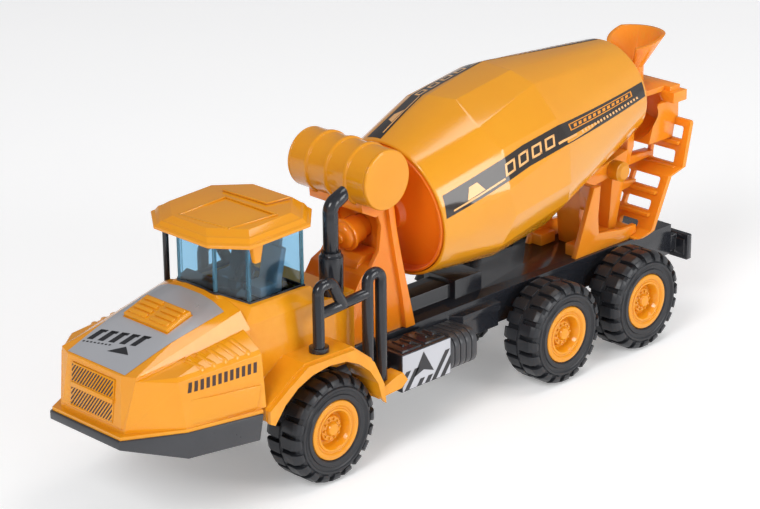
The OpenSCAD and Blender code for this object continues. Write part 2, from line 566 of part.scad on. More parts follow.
module drum_rear_cap() {
    r = drum_rear_r - drum_t - 0.02;
    color(orange) along_drum(drum_len) difference() {
        rotate_extrude($fn = 96) polygon([[0, -2.8], [7, -2.8], [r - 4, -6], [r, -6], [r, -0.2], [r - 1.6, -0.2], [r - 2.4, -4.2], [8, -0.8], [6, 1.6], [0, 1.6]]);
        translate([0, 0, -6]) cylinder(r = drum_pin_r, h = 10);
    }
}
module drum_front_pin() { color("silver") along_drum(-13.6) cylinder(r = drum_pin_r, h = 15, $fn = 48); }
module drum_rear_pin() { color("silver") along_drum(drum_len - 2.8) cylinder(r = drum_pin_r, h = 10.6, $fn = 48); }

// ---------- wheels ----------
module axle(y) { color("silver") translate([0, y, wheel_z]) cyl_x(-track_half + 6, track_half - 6, axle_r); }
module axle_front() axle(axle_front_y);
module axle_middle() axle(axle_mid_y);
module axle_rear() axle(axle_rear_y);
bead_r = hub_r - 0.6;
module hub(y) {
    color(yellow) translate([0, y, wheel_z]) rotate([0, 90, 0]) difference() {
        union() {
            rotate_extrude() polygon([[0, tyre_in + 1.5], [5, tyre_in + 1.5], [5, track_half - 8], [bead_r, track_half - 8], [bead_r, track_half - 3],
                [hub_r, track_half - 3], [hub_r, track_half - 1.2], [hub_r - 0.6, track_half - 0.6], [9.2, track_half - 0.6], [8.8, track_half - 1.1],
                [7.6, track_half - 1.1], [6.9, track_half - 4.4], [4.8, track_half - 4.4], [4.6, track_half - 3.2], [3.6, track_half - 2.2],
                [2, track_half - 1.6], [0, track_half - 1.4]]);
            for (i = [0 : 7]) rotate(i * 45) translate([5.9, 0, track_half - 4.6]) cylinder(r = 0.6, h = 1.2, $fn = 16);
        }
        translate([0, 0, tyre_in]) cylinder(r = axle_r, h = track_half - 6 - tyre_in);
    }
}
lugs = 20;
module tyre(y) {
    t = track_half;
    r = tyre_d / 2;
    mid = (t + tyre_in) / 2;
    color(black) translate([0, y, wheel_z]) rotate([0, 90, 0]) difference() {
        rotate_extrude() polygon([[bead_r, t - 3], [hub_r, t - 3], [hub_r, t - 1], [hub_r + 0.8, t - 0.4], [14.6, t - 0.2], [14.9, t - 0.7], [16.6, t - 0.5],
            [16.9, t], [17.7, t], [18, t - 0.4], [r - 1.2, t - 0.7], [r, t - 2.2], [r, mid + 0.5], [r - 0.4, mid + 0.5], [r - 0.4, mid - 0.5], [r, mid - 0.5],
            [r, tyre_in + 2.2], [r - 1.2, tyre_in + 0.7], [17.7, tyre_in], [14, tyre_in + 0.4], [hub_r, tyre_in + 1.6], [bead_r, tyre_in + 2.4]]);
        // slots between the tread blocks, either side of the uncut middle band
        for (i = [0 : lugs - 1]) rotate(i * 360 / lugs) for (x = [mid + 1.7, mid - 11.7])
            translate([r - 2.3, -0.95, x]) cube([4, 1.9, 10]);
    }
}
module hub_front_left() hub(axle_front_y);
module hub_front_right() mirror([1, 0, 0]) hub(axle_front_y);
module hub_middle_left() hub(axle_mid_y);
module hub_middle_right() mirror([1, 0, 0]) hub(axle_mid_y);
module hub_rear_left() hub(axle_rear_y);
module hub_rear_right() mirror([1, 0, 0]) hub(axle_rear_y);
module tyre_front_left() tyre(axle_front_y);
module tyre_front_right() mirror([1, 0, 0]) tyre(axle_front_y);
module tyre_middle_left() tyre(axle_mid_y);
module tyre_middle_right() mirror([1, 0, 0]) tyre(axle_mid_y);
module tyre_rear_left() tyre(axle_rear_y);
module tyre_rear_right() mirror([1, 0, 0]) tyre(axle_rear_y);

chassis_frame();
chassis_bottom_cover();
cover_screws();
front_bumper();
cab_shell();
front_grille();
cab_glass();
cab_floor();
driver_seat();
passenger_seat();
dashboard();
steering_wheel();
cab_roof();
roof_post();
exhaust_muffler();
exhaust_pipe();
handrail_left();
handrail_right();
front_pedestal();
drum_motor();
front_bearing();
water_tank();
tank_cap_left();
tank_cap_right();
rear_pedestal();
ladder_frame();
discharge_hood();
loading_hopper();
pivot_knob();
toolbox_left();
toolbox_right();
air_tank_left();
air_tank_right();
rear_bumper();
drum_shell();
drum_front_dish();
drum_rear_cap();
drum_front_pin();
drum_rear_pin();
axle_front();
axle_middle();
axle_rear();
hub_front_left();
hub_front_right();
hub_middle_left();
hub_middle_right();
hub_rear_left();
hub_rear_right();
tyre_front_left();
tyre_front_right();
tyre_middle_left();
tyre_middle_right();
tyre_rear_left();
tyre_rear_right();
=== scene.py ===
"""Toy cement mixer truck: the looks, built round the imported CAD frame.

Lengths are written in millimetres and scaled to metres where a mesh is made. The truck's front
is -Y, its left side is +X and up is +Z.
"""

import json
import math

import bmesh
import bpy
from mathutils import Matrix, Vector
from mathutils.bvhtree import BVHTree


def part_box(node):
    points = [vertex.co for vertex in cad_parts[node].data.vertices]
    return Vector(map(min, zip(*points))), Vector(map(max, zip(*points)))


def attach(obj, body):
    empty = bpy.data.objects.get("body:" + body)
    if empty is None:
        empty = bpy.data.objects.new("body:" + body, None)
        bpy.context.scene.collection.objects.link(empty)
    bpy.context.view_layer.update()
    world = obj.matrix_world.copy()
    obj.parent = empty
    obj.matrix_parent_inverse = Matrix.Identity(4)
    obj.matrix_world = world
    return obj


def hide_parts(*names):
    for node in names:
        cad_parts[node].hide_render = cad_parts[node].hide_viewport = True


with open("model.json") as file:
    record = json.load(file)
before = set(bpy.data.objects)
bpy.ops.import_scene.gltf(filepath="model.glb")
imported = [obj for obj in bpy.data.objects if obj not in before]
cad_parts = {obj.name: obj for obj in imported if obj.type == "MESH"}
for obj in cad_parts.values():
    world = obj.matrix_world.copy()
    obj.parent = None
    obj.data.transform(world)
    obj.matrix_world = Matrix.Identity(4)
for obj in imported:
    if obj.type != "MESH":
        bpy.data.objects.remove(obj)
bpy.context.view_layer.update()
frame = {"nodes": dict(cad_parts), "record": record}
NODES = frame["nodes"]
SLOT_OF = {s["node"]: s["material_slot"] for s in frame["record"]["subparts"]}
BODY_OF = {n: b for b, ns in frame["record"]["behaviour"]["bodies"].items() for n in ns}
MM = 0.001
# side of the truck: the sign of x and the word used in piece names
SIDES = ((1, "left"), (-1, "right"))
# metres within which vertices of a CAD mesh are joined
WELD = 4e-6
# metres within which a cut keeps to a vertex that is already there
CUT_SNAP = 1e-5
# share of a mesh's area that merging its flat faces may change
AREA_TOLERANCE = 0.0015


# ---------- small helpers ----------
def mm(*v):
    return Vector(v) * MM


def node_box(name):
    lo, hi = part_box(name)
    return lo / MM, hi / MM


def new_object(name, mesh, material, body):
    obj = bpy.data.objects.new(name, mesh)
    bpy.context.scene.collection.objects.link(obj)
    mesh.materials.clear()
    mesh.materials.append(material)
    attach(obj, body)
    return obj


def shade(mesh, angle=30.0):
    for p in mesh.polygons:
        p.use_smooth = True
    mesh.set_sharp_from_angle(angle=math.radians(angle))


def apply_modifiers(obj):
    dg = bpy.context.evaluated_depsgraph_get()
    made = bpy.data.meshes.new_from_object(obj.evaluated_get(dg), depsgraph=dg)
    old = obj.data
    obj.modifiers.clear()
    obj.data = made
    bpy.data.meshes.remove(old)


def bevel(obj, width, angle, segments):
    """Rounds the edges that turn by more than the angle, in degrees."""
    m = obj.modifiers.new("edge", "BEVEL")
    m.width = width * MM
    m.segments = segments
    m.limit_method = "ANGLE"
    m.angle_limit = math.radians(angle)
    m.use_clamp_overlap = True
    m.harden_normals = False
    m.miter_outer = "MITER_ARC"
    apply_modifiers(obj)


def area(bm):
    return sum(f.calc_area() for f in bm.faces)


def moulded(node, material, width, angle, segments, smooth, flat):
    """A copy of a CAD node with the rounded edges of a moulding, which stands for the node.

    Faces within flat degrees of each other are merged, edges above angle are rounded, and
    shading breaks at edges above smooth.
    """
    bm = bmesh.new()
    bm.from_mesh(NODES[node].data)
    bmesh.ops.remove_doubles(bm, verts=bm.verts, dist=WELD)
    plain = bm.copy()
    bmesh.ops.dissolve_limit(
        bm, angle_limit=math.radians(flat), verts=bm.verts, edges=bm.edges)
    # flat faces with holes don't survive being merged, so such a node keeps its triangles
    if abs(area(bm) / area(plain) - 1.0) > AREA_TOLERANCE:
        bm.free()
        bm = plain
    else:
        plain.free()
    mesh = bpy.data.meshes.new(node + "_moulded")
    bm.to_mesh(mesh)
    bm.free()
    obj = new_object(node + "_moulded", mesh, material, BODY_OF[node])
    bevel(obj, width, angle, segments)
    shade(obj.data, smooth)
    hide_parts(node)
    return obj


def surface_of(obj):
    return BVHTree.FromObject(obj, bpy.context.evaluated_depsgraph_get())


def strike(surface, origin, direction, lift):
    """Point where a ray meets a surface, drawn back by lift millimetres."""
    hit = surface.ray_cast(origin, direction)[0]
    assert hit is not None, "a sticker reaches past its surface"
    return hit - direction * lift * MM


def cut(bm, point, normal):
    """Cuts every face that a plane crosses, and keeps both sides."""
    geom = bm.verts[:] + bm.edges[:] + bm.faces[:]
    bmesh.ops.bisect_plane(bm, geom=geom, dist=CUT_SNAP, plane_co=point, plane_no=normal)


def cut_grid(bm, cell):
    """Cuts flat faces in x and y every cell millimetres, so that they can follow a surface."""
    for axis in (0, 1):
        values = [v.co[axis] for v in bm.verts]
        k, top = min(values) + cell, max(values)
        while k < top:
            point, normal = [0.0, 0.0, 0.0], [0.0, 0.0, 0.0]
            point[axis], normal[axis] = k, 1.0
            cut(bm, point, normal)
            k += cell


def flat_parts(bm):
    """The (x, y) points, faces and rim edges of a flat mesh, which is then freed."""
    bm.verts.index_update()
    points = [(v.co.x, v.co.y) for v in bm.verts]
    faces = [tuple(v.index for v in f.verts) for f in bm.faces]
    rims = [[v.index for v in e.verts] for e in bm.edges if len(e.link_faces) == 1]
    bm.free()
    return points, faces, rims


def two_skins(faces, rims, n):
    """Faces of a plate whose second skin's n vertices follow those of the first."""
    back = [tuple(i + n for i in f) for f in faces]
    return faces + back + [(a, b, b + n, a + n) for a, b in rims]


def laid(name, outlines, place, material, body, cell=None, lift=0.1):
    """Flat pieces laid on a surface by place(u, v, lift), from outlines in (u, v) millimetres."""
    bm = bmesh.new()
    for pts in outlines:
        bm.faces.new([bm.verts.new((u, v, 0.0)) for u, v in pts])
    if cell:
        cut_grid(bm, cell)
    outward = []
    for f in bm.faces:
        c = f.calc_center_median()
        outward.append(place(c.x, c.y, 1.0) - place(c.x, c.y, 0.0))
    for v in bm.verts:
        v.co = place(v.co.x, v.co.y, lift)
    bm.normal_update()
    for f, n in zip(bm.faces, outward):
        if f.normal.dot(n) < 0.0:
            f.normal_flip()
    mesh = bpy.data.meshes.new(name)
    bm.to_mesh(mesh)
    bm.free()
    shade(mesh, 30.0)
    return new_object(name, mesh, material, body)


def rect(u0, u1, v0, v1, lean=0.0):
    """Rectangle whose top is pushed sideways by lean."""
    return [(u0, v0), (u1, v0), (u1 + lean, v1), (u0 + lean, v1)]


def cross_lines(u0, u1, v0, v1, t, lean):
    """Bottom and top line, t high, of a leaning box."""
    k = lean * t / (v1 - v0)
    top = [(u0 + lean - k, v1 - t), (u1 + lean - k, v1 - t), (u1 + lean, v1), (u0 + lean, v1)]
    return [rect(u0, u1, v0, v0 + t, k), top]


def clip(poly, low, high):
    """The part of a convex outline between low and high, both (u, v)."""
    for axis, bound, sign in ((0, low[0], 1), (0, high[0], -1), (1, low[1], 1), (1, high[1], -1)):
        kept = []
        for a, b in zip(poly, poly[1:] + poly[:1]):
            da, db = (a[axis] - bound) * sign, (b[axis] - bound) * sign
            if da >= 0:
                kept.append(a)
            if da * db < 0:
                t = da / (da - db)
                kept.append((a[0] + (b[0] - a[0]) * t, a[1] + (b[1] - a[1]) * t))
        poly = kept
        if len(poly) < 3:
            return None
    return poly


def solid(name, verts, faces, material, width=0.0, angle=25.0, segments=2, smooth=35.0):
    """Piece of the truck's body from vertices in millimetres; width rounds its edges."""
    mesh = bpy.data.meshes.new(name)
    mesh.from_pydata([tuple(mm(*v)) for v in verts], [], faces)
    bm = bmesh.new()
    bm.from_mesh(mesh)
    bmesh.ops.recalc_face_normals(bm, faces=bm.faces)
    bm.to_mesh(mesh)
    bm.free()
    obj = new_object(name, mesh, material, "truck")
    if width:
        bevel(obj, width, angle, segments)
    shade(obj.data, smooth)
    return obj


def between(x, table):
    """Straight-line lookup in a list of (x, value) pairs."""
    for (xa, va), (xb, vb) in zip(table, table[1:]):
        if x <= xb:
            return va + (vb - va) * (x - xa) / (xb - xa)
    return table[-1][1]


# ---------- materials ----------
def tree(name):
    """A new material, its node tree and its shader."""
    m = bpy.data.materials.new(name)
    m.use_nodes = True
    nt = m.node_tree
    return m, nt, nt.nodes["Principled BSDF"]


def link(nt, a, b):
    nt.links.new(a, b)


def noise(nt, scale, detail=3.0, rough=0.5, stretch=None):
    """Noise that keeps to the object, mostly between 0.3 and 0.7."""
    coord = nt.nodes.new("ShaderNodeTexCoord")
    tex = nt.nodes.new("ShaderNodeTexNoise")
    tex.inputs["Scale"].default_value = scale
    tex.inputs["Detail"].default_value = detail
    tex.inputs["Roughness"].default_value = rough
    if stretch:
        m = nt.nodes.new("ShaderNodeMapping")
        m.inputs["Scale"].default_value = stretch
        link(nt, coord.outputs["Object"], m.inputs["Vector"])
        link(nt, m.outputs["Vector"], tex.inputs["Vector"])
    else:
        link(nt, coord.outputs["Object"], tex.inputs["Vector"])
    return tex.outputs["Fac"]


def remap(nt, value, a, b, lo=0.3, hi=0.7):
    """The value with the range lo to hi stretched to a to b."""
    r = nt.nodes.new("ShaderNodeMapRange")
    r.inputs["From Min"].default_value = lo
    r.inputs["From Max"].default_value = hi
    r.inputs["To Min"].default_value = a
    r.inputs["To Max"].default_value = b
    link(nt, value, r.inputs["Value"])
    return r.outputs["Result"]


def mix(nt, fac, a, b):
    """Colour a where fac is 0 and b where it is 1; each is a colour or a socket."""
    m = nt.nodes.new("ShaderNodeMix")
    m.data_type = "RGBA"
    for socket, v in ((m.inputs[6], a), (m.inputs[7], b)):
        if isinstance(v, tuple):
            socket.default_value = (*v, 1.0)
        else:
            link(nt, v, socket)
    link(nt, fac, m.inputs[0])
    return m.outputs[2]


def bump(nt, height, distance, strength, normal):
    b = nt.nodes.new("ShaderNodeBump")
    b.inputs["Strength"].default_value = strength
    b.inputs["Distance"].default_value = distance
    link(nt, height, b.inputs["Height"])
    link(nt, normal, b.inputs["Normal"])
    return b.outputs["Normal"]


def plastic(name, colour, dark, rough, grain=0.00002, grain_scale=900.0, wear=0.12, worn=None,
            sss=0.0, coat=0.0, soften=0.3, specular=0.5, metallic=0.0):
    """Moulded plastic.

    It has faint flow marks in its colour, a fine mould grain (metres), uneven gloss, edges
    rubbed a little paler, and edges softened over a few tenths of a millimetre.
    """
    m, nt, p = tree(name)
    cloud = remap(nt, noise(nt, 26.0, 4.0, 0.6), 0.0, 1.0)
    base = mix(nt, cloud, dark, colour)
    if wear:
        geo = nt.nodes.new("ShaderNodeNewGeometry")
        edge = remap(nt, geo.outputs["Pointiness"], 0.0, wear, 0.53, 0.62)
        rub = nt.nodes.new("ShaderNodeMath")
        rub.operation = "MULTIPLY"
        link(nt, edge, rub.inputs[0])
        link(nt, remap(nt, noise(nt, 120.0, 3.0, 0.7), 0.1, 1.0, 0.4, 0.6), rub.inputs[1])
        paler = tuple(min(1.0, c * 1.5 + 0.05) for c in colour)
        base = mix(nt, rub.outputs[0], base, worn or paler)
    link(nt, base, p.inputs["Base Color"])
    link(nt, remap(nt, noise(nt, 70.0, 5.0, 0.7), rough[0], rough[1]), p.inputs["Roughness"])
    soft = nt.nodes.new("ShaderNodeBevel")
    soft.samples = 4
    soft.inputs["Radius"].default_value = soften * MM
    mould = noise(nt, grain_scale, 2.0, 0.5)
    link(nt, bump(nt, mould, grain, 0.5, soft.outputs["Normal"]), p.inputs["Normal"])
    p.inputs["Metallic"].default_value = metallic
    p.inputs["IOR"].default_value = 1.5
    p.inputs["Specular IOR Level"].default_value = specular
    if sss:
        p.inputs["Subsurface Weight"].default_value = sss
        p.inputs["Subsurface Radius"].default_value = (1.0, 0.35, 0.1)
        p.inputs["Subsurface Scale"].default_value = 0.004
    if coat:
        p.inputs["Coat Weight"].default_value = coat
        p.inputs["Coat Roughness"].default_value = 0.08
    return m


def clear_plastic(name, colour, pale, clear=1.0, rough=0.01):
    """Tinted clear plastic; clear is the share of light that goes through."""
    m, nt, p = tree(name)
    tint = remap(nt, noise(nt, 40.0), 0.0, 1.0)
    link(nt, mix(nt, tint, colour, pale), p.inputs["Base Color"])
    link(nt, remap(nt, noise(nt, 90.0, 4.0), rough, rough + 0.04), p.inputs["Roughness"])
    p.inputs["Transmission Weight"].default_value = clear
    p.inputs["IOR"].default_value = 1.45
    return m


def steel(name):
    """Drawn steel rod, with marks along its length."""
    m, nt, p = tree(name)
    drawn = remap(nt, noise(nt, 400.0, 3.0, 0.6, (0.05, 1.0, 1.0)), 0.0, 1.0)
    link(nt, mix(nt, drawn, (0.50, 0.50, 0.52), (0.66, 0.66, 0.68)), p.inputs["Base Color"])
    link(nt, remap(nt, noise(nt, 300.0, 3.0), 0.25, 0.4), p.inputs["Roughness"])
    p.inputs["Metallic"].default_value = 1.0
    return m


# what printed and stuck-on pieces share: no rubbed edges and hardly any grain
STICKER = {"grain": 0.00001, "wear": 0.0, "soften": 0.1}
YELLOW = plastic("yellow_plastic", (0.80, 0.318, 0.010), (0.77, 0.290, 0.008),
    rough=(0.10, 0.18), sss=0.08, soften=0.3)
ORANGE = plastic("orange_plastic", (0.93, 0.262, 0.013), (0.90, 0.236, 0.010),
    rough=(0.12, 0.20), sss=0.25, soften=0.35)
# the orange plastic painted paler and more golden: painted light for the rear parts and the ladder
LIT_ORANGE = plastic("lit_orange_plastic", (0.90, 0.300, 0.018), (0.87, 0.270, 0.014),
    rough=(0.12, 0.20), sss=0.25, soften=0.35)
# the orange plastic painted darker and redder: painted shade for the drum's front dish under the
# tank
SHADED_ORANGE = plastic("shaded_orange_plastic", (0.86, 0.190, 0.008), (0.82, 0.165, 0.006),
    rough=(0.16, 0.26), sss=0.15, soften=0.35)
DRUM = plastic("drum_plastic", (0.79, 0.325, 0.010), (0.76, 0.300, 0.008),
    rough=(0.10, 0.15), sss=0.08, coat=0.3, soften=0.5, wear=0.0)
BLACK = plastic("black_plastic", (0.018, 0.020, 0.026), (0.013, 0.014, 0.018),
    rough=(0.13, 0.20), grain=0.00003, worn=(0.06, 0.06, 0.07))
GREY = plastic("dark_grey_plastic", (0.046, 0.048, 0.054), (0.036, 0.037, 0.042),
    rough=(0.26, 0.36), grain=0.00004, worn=(0.12, 0.12, 0.13), specular=0.45)
SEAT = plastic("seat_plastic", (0.40, 0.46, 0.54), (0.34, 0.40, 0.47), rough=(0.35, 0.5))
RUBBER = plastic("tyre_rubber", (0.022, 0.024, 0.029), (0.015, 0.016, 0.019),
    rough=(0.30, 0.42), grain=0.00006, grain_scale=1400.0,
    worn=(0.07, 0.07, 0.08), specular=0.38, soften=0.2)
SILVER = plastic("silver_sticker", (0.52, 0.53, 0.56), (0.49, 0.50, 0.53),
    rough=(0.27, 0.31), metallic=0.4, **STICKER)
WHITE = plastic("white_sticker", (0.52, 0.53, 0.57), (0.46, 0.47, 0.51),
    rough=(0.30, 0.42), **STICKER)
BAND = plastic("band_sticker", (0.030, 0.022, 0.018), (0.018, 0.013, 0.011),
    rough=(0.06, 0.12), **STICKER)
INK = plastic("dark_print", (0.020, 0.021, 0.026), (0.010, 0.010, 0.013),
    rough=(0.30, 0.42), **STICKER)
BROWN = plastic("brown_print", (0.055, 0.018, 0.008), (0.036, 0.012, 0.005),
    rough=(0.30, 0.45), **STICKER)
PALE = plastic("pale_print", (0.90, 0.50, 0.20), (0.84, 0.42, 0.14),
    rough=(0.16, 0.26), **STICKER)
GOLD = plastic("gold_print", (0.80, 0.30, 0.020), (0.70, 0.24, 0.014),
    rough=(0.16, 0.26), **STICKER)
CLEAR = clear_plastic("clear_blue_plastic", (0.50, 0.74, 0.90), (0.56, 0.80, 0.94))
CYAN = clear_plastic("thick_blue_plastic", (0.25, 0.74, 0.94), (0.34, 0.82, 0.98), 0.8, 0.06)
STEEL = steel("axle_steel")
BY_SLOT = {
    "yellow_plastic": YELLOW, "orange_plastic": ORANGE, "black_plastic": BLACK,
    "grey_plastic": GREY, "seat_grey_plastic": SEAT, "clear_plastic": CLEAR,
    "tyre": RUBBER, "steel": STEEL,
}

# ---------- CAD nodes with moulded edges ----------
# edge width in mm, angle above which an edge is rounded, segments, angle above which shading breaks
ROUNDING = {
    "drum_shell": (0.7, 5.0, 3, 6.5), "cab_shell": (0.25, 10.0, 2, 9.0),
    "front_pedestal": (0.4, 20.0, 2, 30.0), "rear_pedestal": (0.4, 20.0, 2, 30.0),
    "water_tank": (0.15, 20.0, 2, 18.0), "chassis_frame": (0.25, 28.0, 2, 30.0),
}
OTHER_ROUNDING = (0.35, 28.0, 2, 35.0)
# degrees between faces that are merged before the rounding; the bumper's plate keeps them all
MERGE = {"rear_bumper": 0.0}
OTHER_MERGE = 0.6
# nodes whose colour isn't the one that their slot usually has: the rear parts take the orange
# plastic painted paler, as painted light, and the drum's front dish takes it painted darker and
# redder, as painted shade
OWN_MATERIAL = {
    "drum_shell": DRUM, "front_grille": YELLOW, "drum_front_dish": SHADED_ORANGE,
    "rear_pedestal": LIT_ORANGE, "discharge_hood": LIT_ORANGE, "loading_hopper": LIT_ORANGE,
}
# nodes that pieces built further down stand for
REBUILT = ["cab_roof", "ladder_frame"] + [n for n in NODES if n.startswith(("tyre_", "hub_"))]
PARTS = {}
for node, obj in NODES.items():
    mat = OWN_MATERIAL.get(node, BY_SLOT[SLOT_OF[node]])
    if node in REBUILT:
        continue
    if node == "cab_glass" or SLOT_OF[node] == "steel":
        obj.data.materials.clear()
        obj.data.materials.append(mat)
    else:
        rounding = ROUNDING.get(node, OTHER_ROUNDING)
        PARTS[node] = moulded(node, mat, *rounding, MERGE.get(node, OTHER_MERGE))

# the six faces of a block whose corners are listed as one end's four, then the other's
BOX_FACES = [(0, 1, 2, 3), (4, 5, 6, 7), (0, 1, 5, 4), (1, 2, 6, 5), (2, 3, 7, 6), (3, 0, 4, 7)]


def block(name, corners, material, width, segments=2):
    """Block with rounded edges from its eight corners."""
    return solid(name, corners, BOX_FACES, material, width, 25.0, segments)


# ---------- bonnet: silver sticker, printed mark, shoulder ribs ----------
# the shell before its edges are rounded, which makes a calmer bed for stickers
CAB_SHELL = NODES["cab_shell"]
CAB = BVHTree.FromPolygons(
    [CAB_SHELL.matrix_world @ v.co for v in CAB_SHELL.data.vertices],
    [tuple(f.vertices) for f in CAB_SHELL.data.polygons])
# heights and distances from which rays start, outside the truck
ABOVE, BESIDE, AHEAD = 100.0, 60.0, -200.0


def on_top(u, v, lift):
    """Plan point (u, v) on the cab's upper side."""
    return strike(CAB, mm(u, v, ABOVE), Vector((0.0, 0.0, -1.0)), lift)


def top_height(x, y):
    return (on_top(x, y, 0.0) / MM).z


def half_width(y):
    """Half width of the bonnet's sticker, which widens towards the cab."""
    return 16.6 + 0.052 * (y + 157.0)


def bonnet_strip(y0, y1, x0=None):
    """Strip of the sticker from y0 to y1: the full width, or only outside x0 on both sides."""
    front, back = half_width(y0), half_width(y1)
    if x0 is None:
        return [[(-front, y0), (front, y0), (back, y1), (-back, y1)]]
    left = [(x0, y0), (front, y0), (back, y1), (x0, y1)]
    return [left, [(-u, v) for u, v in reversed(left)]]


# the sticker runs round the louvres
LOUVRE_FRONT, LOUVRE_BACK, LOUVRE_SIDE = -133.8, -120.9, 12.9
silver = bonnet_strip(-157.4, LOUVRE_FRONT)
silver += bonnet_strip(LOUVRE_FRONT, LOUVRE_BACK, LOUVRE_SIDE)
silver += bonnet_strip(LOUVRE_BACK, -111.0)
laid("bonnet_sticker", silver, on_top, SILVER, "truck", cell=1.2, lift=0.16)


def slanted(u, v, lift):
    """The printed mark runs across the bonnet, its left end nearer the cab."""
    return on_top(u, v + 0.235 * (u + 16.0), lift)


# five leaning strokes, a row of dashes under them, and an arrowhead
mark = []
for i in range(5):
    u = -15.4 + i * 4.9
    mark.append(rect(u, u + 2.6, -149.4, -143.2, 0.9))
    mark.append(rect(u + 0.9, u + 4.2, -144.6, -143.2, 0.2))
mark += [rect(-15.8 + i * 1.7, -14.9 + i * 1.7, -151.2, -150.5) for i in range(8)]
mark.append([(-1.6, -154.2), (8.4, -154.6), (3.6, -150.4)])
laid("bonnet_mark", mark, slanted, INK, "truck", cell=1.2, lift=0.24)

for side, word in SIDES:
    for i in range(5):
        # rib from the shoulder's inner crease out over its edge
        y = -136.6 + i * 5.1
        x0, x1 = 24.6 + i * 0.35, 32.6 + i * 0.6
        z0 = top_height(x0 * side, y)
        z1 = top_height(min(x1, 31.4 + i * 0.6) * side, y + 2.2)
        near = [(x0, y, z0 - 0.5), (x0, y + 2.6, z0 - 0.5),
                (x0 + 0.8, y + 2.3, z0 + 1.0), (x0 + 0.8, y + 0.3, z0 + 1.0)]
        far = [(x1, y + 2.2, z1 - 1.2), (x1, y + 4.8, z1 - 1.2),
               (x1 - 0.9, y + 4.5, z1 + 0.7), (x1 - 0.9, y + 2.5, z1 + 0.7)]
        corners = [(x * side, yy, z) for x, yy, z in near + far]
        block(f"shoulder_rib_{word}_{i}", corners, YELLOW, 0.6, 3)

# ---------- raised block of louvres in the middle of the sticker ----------
# from the bonnet's front edge, along its slope
SLOPE = Matrix.Rotation(math.radians(19.0), 4, "X")
TILT = Matrix.Translation((0.0, -158.3, 65.9)) @ SLOPE


def on_bonnet(name, x0, x1, y0, y1, z0, rise0, rise1, width):
    """Block on the sloping bonnet: its top runs from rise0 at the front to rise1 at the back."""
    plan = [(x0, y0), (x1, y0), (x1, y1), (x0, y1)]
    corners = [(x, y, z0) for x, y in plan]
    corners += [(x, y, rise) for (x, y), rise in zip(plan, (rise0, rise0, rise1, rise1))]
    corners = [tuple(TILT @ Vector(c)) for c in corners]
    block(name, corners, YELLOW, width, 3)


on_bonnet("louvre_block", -12.6, 12.6, 26.4, 39.2, -0.6, 1.35, 1.35, 0.5)
for side, word in SIDES:
    for i in range(4):
        x0, x1 = sorted((1.1 * side, 11.3 * side))
        y0, y1 = 27.9 + i * 2.8, 29.7 + i * 2.8
        on_bonnet(f"louvre_{word}_{i}", x0, x1, y0, y1, 1.0, 1.95, 2.2, 0.3)


# ---------- grille: two hatched fields either side of a cross bar ----------
def on_grille(u, v, lift):
    """u is across and v is the height above the ground; the plate leans back."""
    return strike(GRILLE, mm(u, AHEAD, v), Vector((0.0, 1.0, 0.0)), lift)


GRILLE = surface_of(PARTS["front_grille"])
# sideways push of a leaning stripe for each millimetre of its height
LEAN = 0.74
for name, z0, z1 in (("lower", 47.4, 54.0), ("upper", 56.6, 63.0)):
    hatch = []
    for i in range(-6, 16):
        u = -12.0 + i * 1.56
        strip = rect(u, u + 0.74, z0, z1, LEAN * (z1 - z0))
        strip = clip(strip, (-11.9, z0), (11.9, z1))
        if strip:
            hatch.append(strip)
    laid("grille_hatch_" + name, hatch, on_grille, BROWN, "truck", lift=0.12)


# ---------- printed dashes on the sides of the bonnet ----------
def on_side(side):
    """Places (y, z) points on one side of the cab."""
    def place(u, v, lift):
        return strike(CAB, mm(side * BESIDE, u, v), Vector((-side, 0.0, 0.0)), lift)
    return place


for side, word in SIDES:
    dashes = []
    for i in range(12):
        y, z = i * 2.62, i * 0.02
        dashes.append(rect(-141.2 + y, -139.7 + y, 58.7 + z, 62.7 + z, 0.5))
    laid("side_dashes_" + word, dashes, on_side(side), BROWN, "truck", cell=2.0)

# ---------- cab windows: gasket and thick corners ----------
WINDOW = [(10.6, -108.0), (20.0, -99.0), (20.0, -71.0),
          (-20.0, -71.0), (-20.0, -99.0), (-10.6, -108.0)]
WINDOW_MIDDLE = (0.0, -88.0)
GASKET_STEP = 1.5


def outward_from_window(x, y):
    """Direction in plan from the middle of the cab."""
    dx, dy = x - WINDOW_MIDDLE[0], y - WINDOW_MIDDLE[1]
    d = math.hypot(dx, dy)
    return dx / d, dy / d


steps = []
for (xa, ya), (xb, yb) in zip(WINDOW, WINDOW[1:] + WINDOW[:1]):
    n = max(1, round(math.hypot(xb - xa, yb - ya) / GASKET_STEP))
    steps += [(xa + (xb - xa) * i / n, ya + (yb - ya) * i / n) for i in range(n)]
verts, faces = [], []
for x, y in steps:
    ox, oy = outward_from_window(x, y)
    z = top_height(x + ox * 0.6, y + oy * 0.6)
    # how far out and up each corner of the gasket's section lies
    for out, up in ((-0.2, -0.6), (0.5, -0.6), (0.4, 0.8), (-0.2, 0.8)):
        verts.append((x + ox * out, y + oy * out, z + up))
count = len(steps)
for i in range(count):
    a, b = i * 4, (i + 1) % count * 4
    faces += [(a + k, a + (k + 1) % 4, b + (k + 1) % 4, b + k) for k in range(4)]
solid("window_gasket", verts, faces, BLACK, smooth=40.0)

